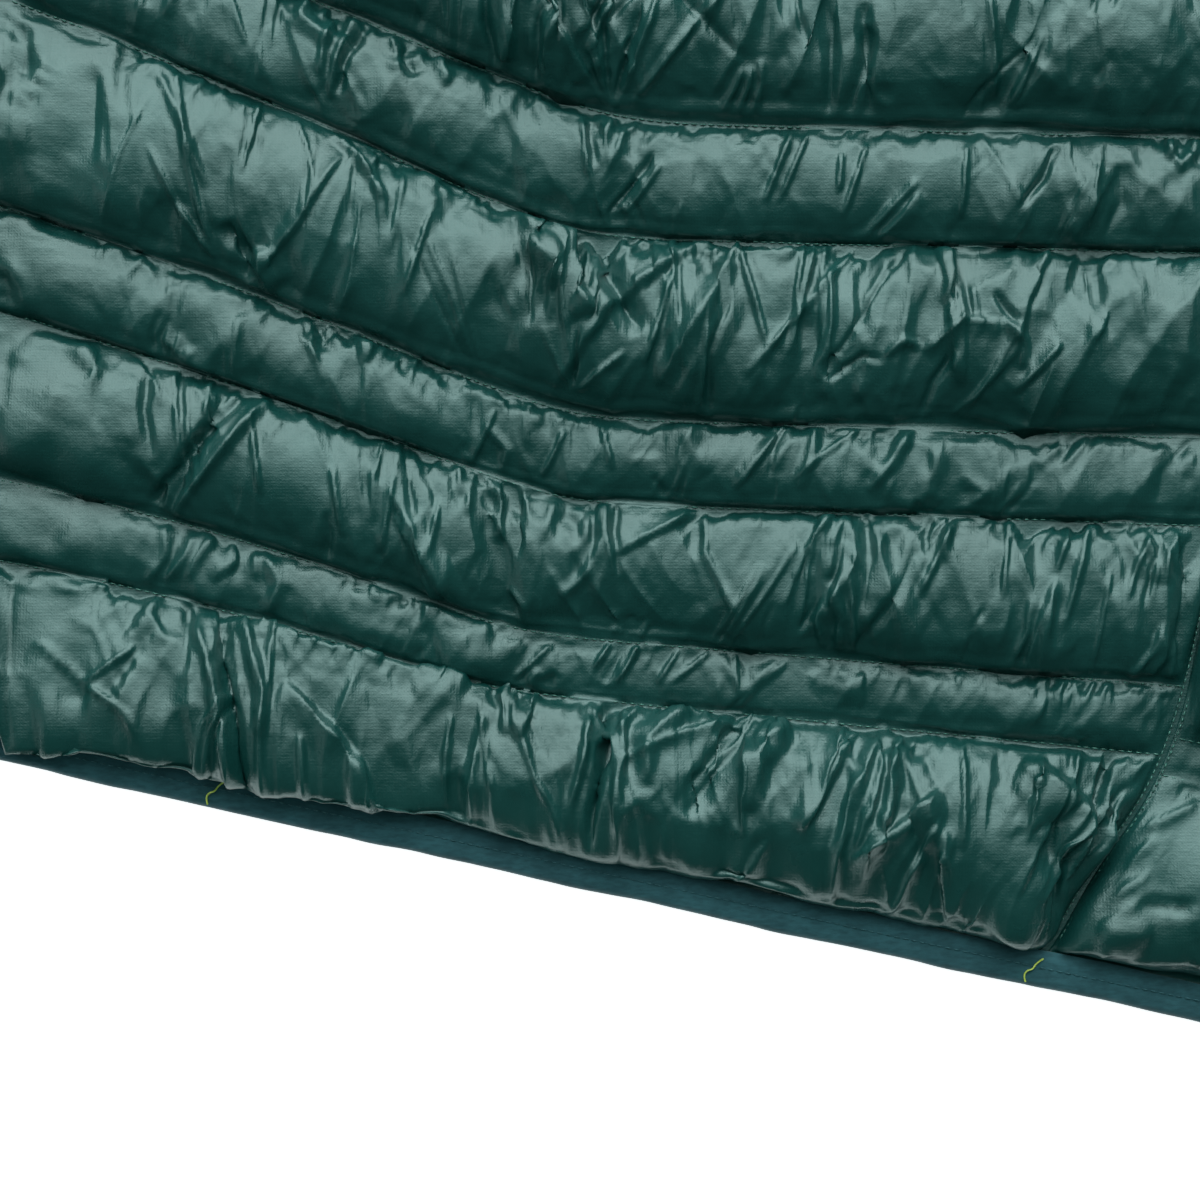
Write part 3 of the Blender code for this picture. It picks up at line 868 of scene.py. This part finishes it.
def make_liner(material):
    edge = HALF_WIDTH_HEAD
    half = list(np.linspace(0.0, edge - 0.020, 190)) + [edge - 0.0135, edge - 0.0125, edge - 0.002]
    refs = np.array([-x for x in reversed(half[1:])] + half)
    lattice = Lattice(
        seam_height,
        list(range(LAST_SEAM)),
        shell_columns(refs),
        lambda k: 0.0042,
        ([-0.011, -0.001], [0.001, 0.011]),
    )
    lift = side_lift(lattice.x, lattice.h)
    t = np.clip(np.minimum(lattice.v, 1 - lattice.v) / 0.30, 0, 1)[:, None]
    drop = (LINER_SEAM_Z - LINER_LOW_Z) * np.sqrt(1 - (1 - t) ** 2) * lift
    up = lattice.v[:, None] * lattice.width
    folds = 0.45 * np.abs(puckers(lattice.x, up, lattice.k[:, None] + 60.25))
    folds += 0.60 * np.abs(crumples(lattice))
    z = np.clip(LINER_SEAM_Z - drop + folds * np.clip(drop / 0.003, 0, 1), LINER_LOW_Z, LINER_SEAM_Z)
    points = np.stack([lattice.x, lattice.h - LENGTH / 2, z], axis=2)
    piece = add_mesh("liner", points)
    piece.data.materials.append(material)
    thicken(piece, offset=0.0)
    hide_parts("liner_foot", "liner_head", "foot_gusset_liner")
    blend_at_fold(piece)


# ---------------------------------------------------------------- down

# Half the fill's size across its channel, as a share of the channel's width, and up, as a share of its loft
FILL_HALF_WIDTH = 0.34
FILL_HALF_HEIGHT = 0.30
FILL_SIDES = 12


def make_down(material):
    """A soft crowned body of down in each channel, clear of both cloths."""
    for k in range(LAST_SEAM):
        names = [f"down_{k + 1:02d}"]
        if k < GUSSET_CHANNELS:
            names = [f"down_{k + 1:02d}_{word}" for word in ("left", "gusset", "right")]
        for name in names:
            add_down(name, k, material)


def add_down(name, k, material):
    seams = gusset_seam_height if name.endswith("gusset") else seam_height
    low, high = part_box(name)
    count = 40
    x = np.linspace(low.x, high.x, count)
    if name.endswith("_left"):
        x = np.linspace(low.x, -0.168 + 0.02 * k, count)
    if name.endswith("_right"):
        x = np.linspace(0.168 - 0.02 * k, high.x, count)
    if name.endswith("gusset"):
        x = np.linspace(-1, 1, count) * (0.098 - 0.012 * k)
    a, b = seams(k, x), seams(k + 1, x)
    loft = slack_crown(b - a) - SHELL_SEAM_Z
    end = np.sin(np.pi * np.clip(np.linspace(0, 1, count), 0.02, 0.98)) ** 0.25
    angles = np.linspace(0, 2 * np.pi, FILL_SIDES + 1)[:-1]
    middle = (a + b) / 2
    across = middle[:, None] + np.cos(angles)[None, :] * ((b - a) * FILL_HALF_WIDTH * end)[:, None]
    z = FILL_MIDDLE_Z + np.sin(angles)[None, :] * (FILL_HALF_HEIGHT * loft * end)[:, None]
    points = np.stack([np.repeat(x[:, None], FILL_SIDES, 1), across - LENGTH / 2, z], axis=2)
    verts = points.reshape(-1, 3).tolist()
    faces = []
    for i in range(count - 1):
        for j in range(FILL_SIDES):
            p, q = i * FILL_SIDES + j, i * FILL_SIDES + (j + 1) % FILL_SIDES
            faces.append((p, p + FILL_SIDES, q + FILL_SIDES, q))
    faces.append(tuple(range(FILL_SIDES)))
    faces.append(tuple(reversed(range((count - 1) * FILL_SIDES, count * FILL_SIDES))))
    mesh = bpy.data.meshes.new(name + "_fill")
    mesh.from_pydata(verts, [], faces)
    mesh.shade_smooth()
    piece = link(name + "_fill", mesh)
    mesh.materials.append(material)
    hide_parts(name)
    if k in (FOLD_SEAM - 1, FOLD_SEAM):
        blend_at_fold(piece)
    else:
        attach(piece, "foot_half" if k < FOLD_SEAM else "head_half")


# ---------------------------------------------------------------- binding


def binding_outline():
    """The folded tape's section, from its inner edge underneath, round the back, to its top edge."""
    flat, thick = 0.0122, 0.0042
    low_z = 0.0041
    points = [(flat, low_z), (0.006, low_z - 0.0001), (0.0022, low_z)]
    for i in range(7):
        angle = -math.pi / 2 - math.pi * i / 6
        points.append((0.0022 + 0.0021 * math.cos(angle), low_z + thick / 2 + thick / 2 * math.sin(angle)))
    points += [(0.004, low_z + thick), (0.008, low_z + thick - 0.0001), (flat, low_z + thick - 0.0003)]
    return points


def add_binding(name, path, inward, material, nodes, wave_key):
    """Tape along a path; inward is the direction from the edge into the quilt at each point."""
    outline = binding_outline()
    count = len(path)
    arc = np.concatenate(([0.0], np.cumsum(np.linalg.norm(np.diff(path, axis=0), axis=1))))
    points = np.empty((len(outline), count, 3))
    for i, (inset, z) in enumerate(outline):
        wobble = 0.0004 * WAVES(arc / 0.035, wave_key) + 0.0002 * WAVES(arc / 0.011, wave_key + 5)
        ripple = 0.00035 * WAVES(arc / 0.009 + 3 * inset / 0.012, wave_key + 9) * (inset / 0.012)
        place = path + inward * (inset + wobble)[:, None]
        points[i, :, :2] = place
        points[i, :, 2] = z + ripple
    piece = add_mesh(name, points)
    piece.data.materials.append(material)
    thicken(piece, 0.0005, 0.0)
    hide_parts(*nodes)
    return piece


def make_bindings(material):
    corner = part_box("binding_hem")[1].x
    x = np.concatenate([np.linspace(-corner, -0.08, 420), np.linspace(-0.08, corner, 160)[1:]])
    path = np.stack([x, hem_height(x) - LENGTH / 2], axis=1)
    inward = np.tile([0.0, 1.0], (len(x), 1))
    hem = add_binding("hem_binding", path, inward, material, ["binding_hem"], 1)
    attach(hem, "foot_half")
    x = np.linspace(-HALF_WIDTH_HEAD, HALF_WIDTH_HEAD, 200)
    path = np.stack([x, np.full_like(x, LENGTH / 2)], axis=1)
    head = add_binding("head_binding", path, np.tile([0.0, -1.0], (len(x), 1)), material, ["binding_head"], 2)
    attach(head, "head_half")
    for word, side in (("left", -1), ("right", 1)):
        h = np.linspace(hem_height(corner) + EDGE, LENGTH - EDGE, 400)
        path = np.stack([side * half_width(h), h - LENGTH / 2], axis=1)
        inward = np.tile([-side * 1.0, 0.0], (len(h), 1))
        nodes = [f"binding_{word}_foot", f"binding_{word}_head"]
        tape = add_binding(f"{word}_binding", path, inward, material, nodes, 3 + side)
        blend_at_fold(tape)


# ---------------------------------------------------------------- stitches

# Length and radius of a stitch
QUILTING_STITCH = (0.0028, 0.00024)
GUSSET_STITCH = (0.0022, 0.00026)
HEM_STITCH = (0.0028, 0.00020)

# The hem's row lies on the tape, this far in and this high
HEM_ROW_INSET = 0.0066
HEM_ROW_Z = 0.0087

# Half the distance between the gusset's two rows, and how far below its seam a quilting row lies
GUSSET_ROW_OFFSET = 0.0014
ROW_DROP = 0.6 * LEDGE


def resample(path, pitch):
    path = np.asarray(path, float)
    arc = np.concatenate(([0.0], np.cumsum(np.linalg.norm(np.diff(path, axis=0), axis=1))))
    count = int(arc[-1] / pitch)
    at = (np.arange(count) + 0.5) * arc[-1] / count
    ends = []
    for half in (-0.38, 0.38):
        where = at + half * pitch
        ends.append(np.stack([np.interp(where, arc, path[:, i]) for i in range(3)], axis=1))
    return ends


def stitch_mesh(name, paths, pitch, radius):
    """Separate stitches along paths: each a plump bead, dipping into the cloth at its ends."""
    sides, rings = 5, (0.0, 0.35, 0.65, 1.0)
    sizes = (0.35, 1.0, 1.0, 0.35)
    verts, faces = [], []
    for path in paths:
        start, end = resample(path, pitch)
        for a, b in zip(start, end):
            along = b - a
            length = np.linalg.norm(along)
            along /= max(length, 1e-9)
            out = np.cross(along, (0, 0, 1.0))
            out /= max(np.linalg.norm(out), 1e-9)
            up = np.cross(out, along)
            base = len(verts)
            for t, size in zip(rings, sizes):
                rise = radius * 0.9 * math.sin(math.pi * t)
                for i in range(sides):
                    angle = 2 * math.pi * i / sides
                    spot = a + along * length * t + up * rise
                    spot = spot + radius * size * (out * math.cos(angle) + up * math.sin(angle))
                    verts.append(spot)
            for ring in range(len(rings) - 1):
                for i in range(sides):
                    p = base + ring * sides + i
                    q = base + ring * sides + (i + 1) % sides
                    faces.append((p, q, q + sides, p + sides))
            faces.append(tuple(base + i for i in reversed(range(sides))))
            last = base + (len(rings) - 1) * sides
            faces.append(tuple(last + i for i in range(sides)))
    mesh = bpy.data.meshes.new(name)
    mesh.from_pydata([tuple(v) for v in verts], [], faces)
    mesh.shade_smooth()
    return link(name, mesh)


def seam_path(k, low, high, z, count=160):
    x = np.linspace(low, high, count)
    h = seam_height(k, x)
    wander = 0.0002 * WAVES(x / 0.02, k + 0.5)
    return np.stack([x, h + wander - ROW_DROP - LENGTH / 2, np.full_like(x, z)], axis=1)


def make_stitches(material, tape_material):
    z = SHELL_SEAM_Z + 0.0003
    paths = []
    for k in range(1, LAST_SEAM):
        edge = float(half_width(seam_height(k, 0.55))) - EDGE
        if k < GUSSET_CHANNELS:
            inner = float(gusset_half(seam_height(k, 0.11))) + 0.002
            paths.append(seam_path(k, -edge, -inner, z))
            paths.append(seam_path(k, inner, edge, z))
        else:
            paths.append(seam_path(k, -edge, edge, z, 300))
    for k in (1, 2):
        inner = float(gusset_half(gusset_seam_height(k, 0.10))) - 0.002
        x = np.linspace(-inner, inner, 80)
        h = gusset_seam_height(k, x) - ROW_DROP
        paths.append(np.stack([x, h - LENGTH / 2, np.full_like(x, z)], axis=1))
    quilting = stitch_mesh("quilting_stitches", paths, *QUILTING_STITCH)
    quilting.data.materials.append(material)
    blend_at_fold(quilting)
    for word, side in (("left", -1), ("right", 1)):
        rows = []
        for offset in (-GUSSET_ROW_OFFSET, GUSSET_ROW_OFFSET):
            h = np.linspace(0.040, 0.170, 90)
            x = side * (gusset_half(h) + offset)
            rows.append(np.stack([x, h - LENGTH / 2, np.full_like(h, z + 0.0003)], axis=1))
        double = stitch_mesh(f"gusset_stitches_{word}", rows, *GUSSET_STITCH)
        double.data.materials.append(material)
        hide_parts(f"gusset_thread_{word}")
        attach(double, "foot_half")
    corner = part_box("binding_hem")[1].x - 0.004
    x = np.linspace(-corner, corner, 400)
    y = hem_height(x) + HEM_ROW_INSET - LENGTH / 2
    hem = np.stack([x, y, np.full_like(x, HEM_ROW_Z)], axis=1)
    row = stitch_mesh("hem_stitches", [hem], *HEM_STITCH)
    row.data.materials.append(tape_material)
    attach(row, "foot_half")


# A loose thread end: its radius, its height, how far it rises, and its points as shares of the CAD
# solid's box across and along, and of the rise
TAIL_RADIUS = 0.00028
TAIL_Z = 0.0089
TAIL_RISE = 0.0006
TAIL_SHAPE = (
    (0.10, 0.00, 0),
    (0.00, 0.25, 0),
    (0.15, 0.50, 1),
    (0.45, 0.55, 1),
    (0.60, 0.80, 0),
    (0.95, 1.00, 1),
)


def make_thread_tails(material):
    for word in ("inner", "outer"):
        node = f"thread_tail_{word}"
        low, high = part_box(node)
        curve = bpy.data.curves.new(node + "_end", "CURVE")
        curve.dimensions = "3D"
        curve.bevel_depth = TAIL_RADIUS
        curve.bevel_resolution = 2
        curve.use_fill_caps = True
        spline = curve.splines.new("NURBS")
        spline.points.add(len(TAIL_SHAPE) - 1)
        for spot, (a, b, c) in zip(spline.points, TAIL_SHAPE):
            x = low.x + a * (high.x - low.x)
            y = low.y + b * (high.y - low.y)
            spot.co = (x, y, TAIL_Z + TAIL_RISE * c, 1)
        spline.use_endpoint_u = True
        spline.order_u = 3
        tail = link(node + "_end", curve)
        curve.materials.append(material)
        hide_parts(node)
        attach(tail, "foot_half")


# ---------------------------------------------------------------- materials


class Nodes:
    """A short way to add shader nodes and join them."""

    def __init__(self, name):
        self.material = bpy.data.materials.new(name)
        self.material.use_nodes = True
        self.tree = self.material.node_tree
        self.shader = self.tree.nodes["Principled BSDF"]

    def add(self, kind, inputs, **settings):
        node = self.tree.nodes.new(kind)
        for key, value in settings.items():
            setattr(node, key, value)
        self.feed(node, inputs)
        return node

    def feed(self, node, inputs):
        """Sets a node's inputs, or links them where the value is another node's output."""
        for key, value in inputs.items():
            if isinstance(value, bpy.types.NodeSocket):
                self.tree.links.new(value, node.inputs[key])
            else:
                node.inputs[key].default_value = value

    def coords(self):
        return self.tree.nodes.new("ShaderNodeTexCoord").outputs["Object"]

    def noise(self, coords, scale, detail=2.0, roughness=0.5):
        inputs = {"Vector": coords, "Scale": scale, "Detail": detail, "Roughness": roughness}
        return self.add("ShaderNodeTexNoise", inputs).outputs["Fac"]

    def bump(self, height, strength, distance, under=None):
        """Surface relief from a height, on top of other relief where there is some."""
        inputs = {"Height": height, "Strength": strength, "Distance": distance}
        if under is not None:
            inputs["Normal"] = under
        return self.add("ShaderNodeBump", inputs).outputs["Normal"]

    def finish(self, inputs):
        self.feed(self.shader, inputs)
        return self.material


def ramp(nodes, factor, stops):
    node = nodes.add("ShaderNodeValToRGB", {"Fac": factor})
    elements = node.color_ramp.elements
    while len(elements) < len(stops):
        elements.new(0.5)
    for element, (place, colour) in zip(elements, stops):
        element.position = place
        element.color = (*colour, 1.0)
    return node.outputs["Color"]


def nylon(name, dark, light, roughness):
    """Calendered ripstop nylon: a fine square grid in a glossy, slightly uneven film."""
    nodes = Nodes(name)
    coords = nodes.coords()
    lines = []
    for direction in ("X", "Y"):
        inputs = {"Vector": coords, "Scale": 314.0, "Distortion": 0.25, "Detail": 1.0}
        wave = nodes.add("ShaderNodeTexWave", inputs, bands_direction=direction)
        lines.append(wave.outputs["Fac"])
    grid = nodes.add("ShaderNodeMath", {0: lines[0], 1: lines[1]}, operation="MAXIMUM")
    weave = nodes.bump(grid.outputs[0], 0.20, 0.00012)
    gloss = nodes.noise(coords, 60.0, 3.0)
    spread = {"Value": gloss, "To Min": roughness - 0.06, "To Max": roughness + 0.08}
    return nodes.finish(
        {
            "Base Color": ramp(nodes, nodes.noise(coords, 26.0, 4.0), ((0.35, dark), (0.68, light))),
            "Normal": nodes.bump(nodes.noise(coords, 160.0, 6.0, 0.7), 0.35, 0.0011, weave),
            "Roughness": nodes.add("ShaderNodeMapRange", spread).outputs["Result"],
            "Specular IOR Level": 0.85,
            "Specular Tint": (0.72, 1.0, 0.97, 1.0),
        }
    )


def tape_cloth(name, dark, light):
    """Matte woven tape with slubs."""
    nodes = Nodes(name)
    coords = nodes.coords()
    stretch = nodes.add("ShaderNodeMapping", {"Vector": coords, "Scale": (0.35, 1.0, 1.0)})
    slub = nodes.noise(stretch.outputs[0], 900.0, 3.0)
    both = nodes.add("ShaderNodeMath", {0: slub, 1: nodes.noise(coords, 90.0, 4.0)}, operation="MULTIPLY")
    return nodes.finish(
        {
            "Base Color": ramp(nodes, both.outputs[0], ((0.12, dark), (0.38, light))),
            "Normal": nodes.bump(slub, 0.5, 0.0003),
            "Roughness": 0.85,
            "Sheen Weight": 0.25,
        }
    )


def thread(name, dark, light, roughness=0.6):
    """Twisted sewing thread."""
    nodes = Nodes(name)
    twist = nodes.noise(nodes.coords(), 1500.0, 2.0)
    return nodes.finish(
        {
            "Base Color": ramp(nodes, twist, ((0.3, dark), (0.7, light))),
            "Normal": nodes.bump(twist, 0.4, 0.0001),
            "Roughness": roughness,
        }
    )


def down_cluster(name):
    """Loose white down in tufts."""
    nodes = Nodes(name)
    tuft = nodes.noise(nodes.coords(), 140.0, 6.0, 0.7)
    return nodes.finish(
        {
            "Base Color": ramp(nodes, tuft, ((0.3, (0.55, 0.53, 0.49)), (0.7, (0.86, 0.85, 0.82)))),
            "Normal": nodes.bump(tuft, 0.9, 0.003),
            "Roughness": 0.95,
            "Sheen Weight": 0.4,
        }
    )


# ---------------------------------------------------------------- stage


# Soft lights in an arc over the head end: angle from straight overhead, and power in watts
ARC_RADIUS = 2.3
ARC_LIGHTS = ((76, 38.0), (53, 41.0), (30, 23.0), (8, 7.5))


def make_stage():
    world = bpy.data.worlds.new("studio")
    bpy.context.scene.world = world
    world.use_nodes = True
    world.node_tree.nodes["Background"].inputs["Color"].default_value = (0.45, 1.0, 0.95, 1.0)
    world.node_tree.nodes["Background"].inputs["Strength"].default_value = 0.10
    mesh = bpy.data.meshes.new("floor")
    size = 14.0
    corners = [(a * size, b * size, -0.0005) for a, b in ((-1, -1), (1, -1), (1, 1), (-1, 1))]
    mesh.from_pydata(corners, [], [(0, 1, 2, 3)])
    floor = link("floor", mesh)
    paper = Nodes("paper")
    grain = paper.noise(paper.coords(), 3.0)
    look = {
        "Base Color": ramp(paper, grain, ((0.3, (0.93, 0.93, 0.93)), (0.7, (0.95, 0.95, 0.95)))),
        "Roughness": 1.0,
        "Specular IOR Level": 0.0,
        "Emission Color": (1, 1, 1, 1),
        "Emission Strength": 0.90,
    }
    mesh.materials.append(paper.finish(look))
    target = Vector((-0.29, -0.78, 0.0))
    for number, (angle, power) in enumerate(ARC_LIGHTS):
        turn = math.radians(angle)
        place = target + ARC_RADIUS * Vector((0.0, math.sin(turn), math.cos(turn)))
        add_light(f"arc_{number}", place, target, (3.6, 0.92), power)
    add_light("side", (-2.6, -1.2, 1.2), target, (1.4, 1.4), 3.0)


def add_light(name, place, target, size, power):
    data = bpy.data.lights.new(name, "AREA")
    data.shape = "RECTANGLE"
    data.size, data.size_y = size
    data.energy = power
    light = link(name, data)
    light.location = place
    light.rotation_euler = (Vector(target) - Vector(place)).to_track_quat("-Z", "Y").to_euler()
    light.visible_camera = False


# What the camera sees: how wide, the middle of it, and the height of the cloth that is that wide
VIEW_WIDTH = 0.384
VIEW_X = -0.288
VIEW_HEIGHT = 0.1489
VIEW_SURFACE = 0.010


def make_camera():
    """Straight down on the foot region, left of the centre line."""
    data = bpy.data.cameras.new("camera")
    data.lens = 85.0
    data.sensor_width = 36.0
    data.clip_start = 0.05
    data.clip_end = 60.0
    camera = link("camera", data)
    distance = VIEW_WIDTH * data.lens / data.sensor_width
    camera.location = (VIEW_X, VIEW_HEIGHT - LENGTH / 2, VIEW_SURFACE + distance)
    bpy.context.scene.camera = camera


def build():
    bpy.context.scene.view_settings.view_transform = "Standard"
    shell = nylon("shell_nylon_cloth", (0.003, 0.041, 0.036), (0.007, 0.058, 0.052), 0.28)
    lining = nylon("liner_nylon_cloth", (0.006, 0.055, 0.050), (0.010, 0.072, 0.064), 0.42)
    tape = tape_cloth("binding_cloth", (0.007, 0.066, 0.080), (0.024, 0.122, 0.145))
    dark_thread = thread("quilting_thread", (0.004, 0.045, 0.038), (0.09, 0.30, 0.24), 0.35)
    tape_thread = thread("tape_thread", (0.012, 0.090, 0.105), (0.050, 0.190, 0.215))
    lime = thread("lime_thread", (0.42, 0.60, 0.05), (0.72, 0.88, 0.20), 0.5)
    make_shell(shell)
    make_gusset_shell(shell)
    make_liner(lining)
    make_down(down_cluster("down_tufts"))
    make_bindings(tape)
    make_stitches(dark_thread, tape_thread)
    make_thread_tails(lime)
    make_stage()
    make_camera()


build()
